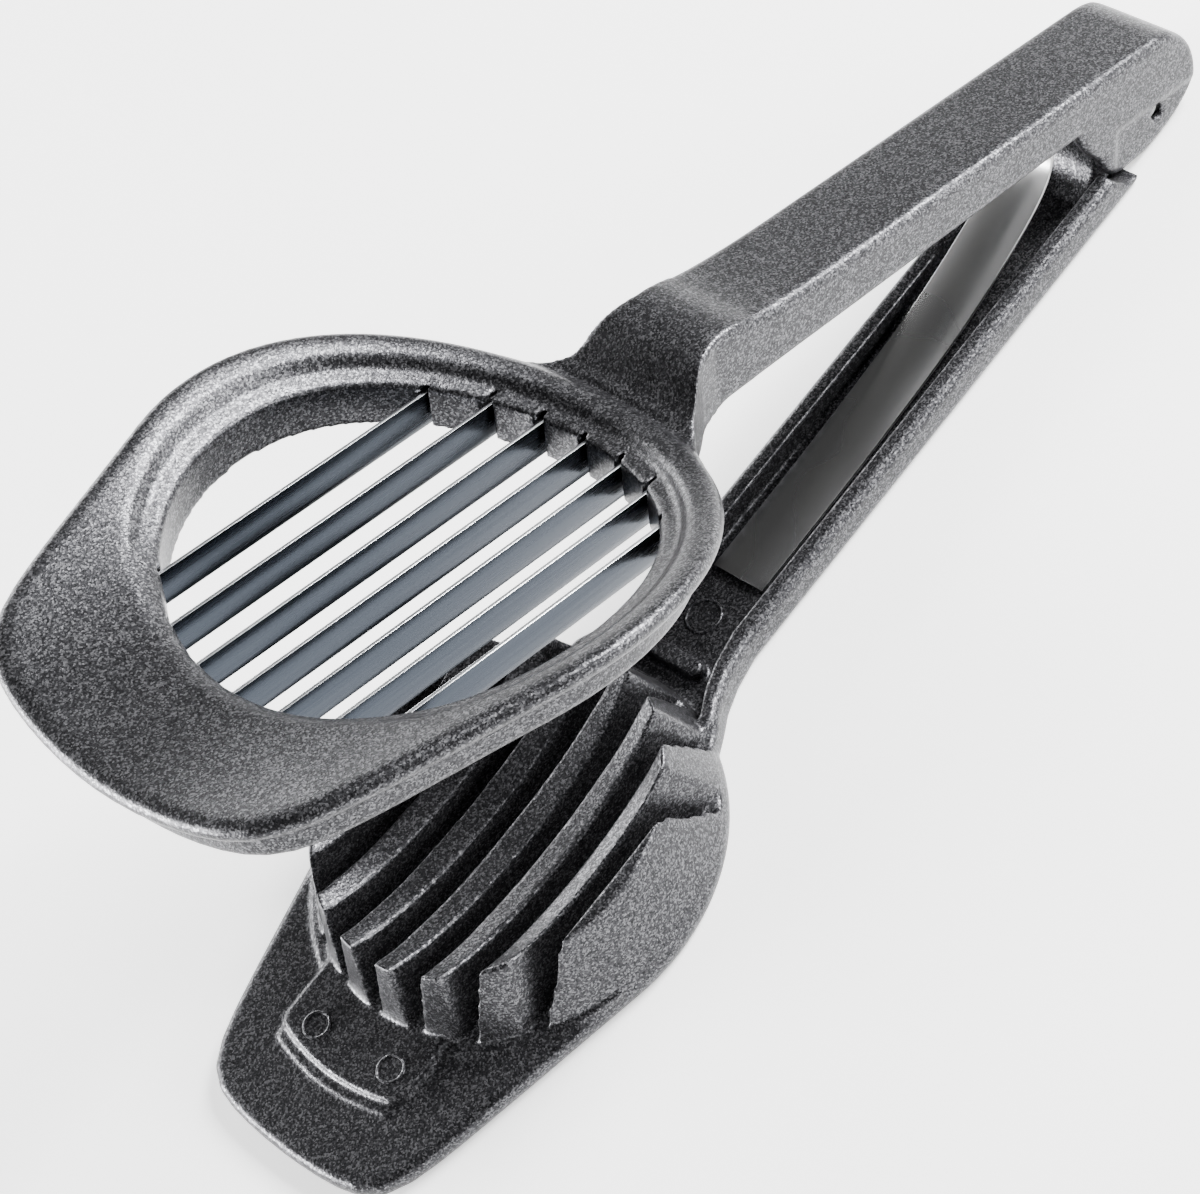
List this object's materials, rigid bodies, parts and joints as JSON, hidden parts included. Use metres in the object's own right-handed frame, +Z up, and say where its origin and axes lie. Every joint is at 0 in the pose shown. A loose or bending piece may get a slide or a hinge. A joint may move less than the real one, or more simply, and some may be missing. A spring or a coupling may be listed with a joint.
{
  "type": "egg slicer",
  "caption": "Tongs-style hand egg slicer: blade frame on a hinged upper arm, slotted cradle on the lower arm, leaf spring between them.",
  "frame": {"origin": "centre of the footprint, on the flat underside of the lower arm", "axes": "+X along the arms from the hinge towards the blades, +Y across the arms, +Z up from the lower arm towards the open upper arm"},
  "size_m": [0.2007, 0.0786, 0.0821],
  "materials": {
    "coated_metal": "dark graphite speckled coating on cast aluminium",
    "blade_steel": "smooth satin",
    "spring_steel": "bright rolled strip",
    "pin_steel": "plain"
  },
  "bodies": {
    "lower_arm": {"lower_arm_casting": "coated_metal", "hinge_pin": "pin_steel", "leaf_spring": "spring_steel"},
    "upper_arm": {"upper_arm_casting": "coated_metal", "blade_1": "blade_steel", "blade_2": "blade_steel", "blade_3": "blade_steel", "blade_4": "blade_steel", "blade_5": "blade_steel", "blade_6": "blade_steel", "blade_7": "blade_steel"}
  },
  "joints": [
    {"name": "arm_hinge", "type": "hinge", "parent": "lower_arm", "child": "upper_arm", "pos_m": [-0.0835, 0, 0.0072], "axis": [0, 1, 0], "range_deg": [0, 22], "stiffness_Nm_per_rad": 1.5, "springref_deg": -20.05, "deforming": ["leaf_spring"]}
  ]
}
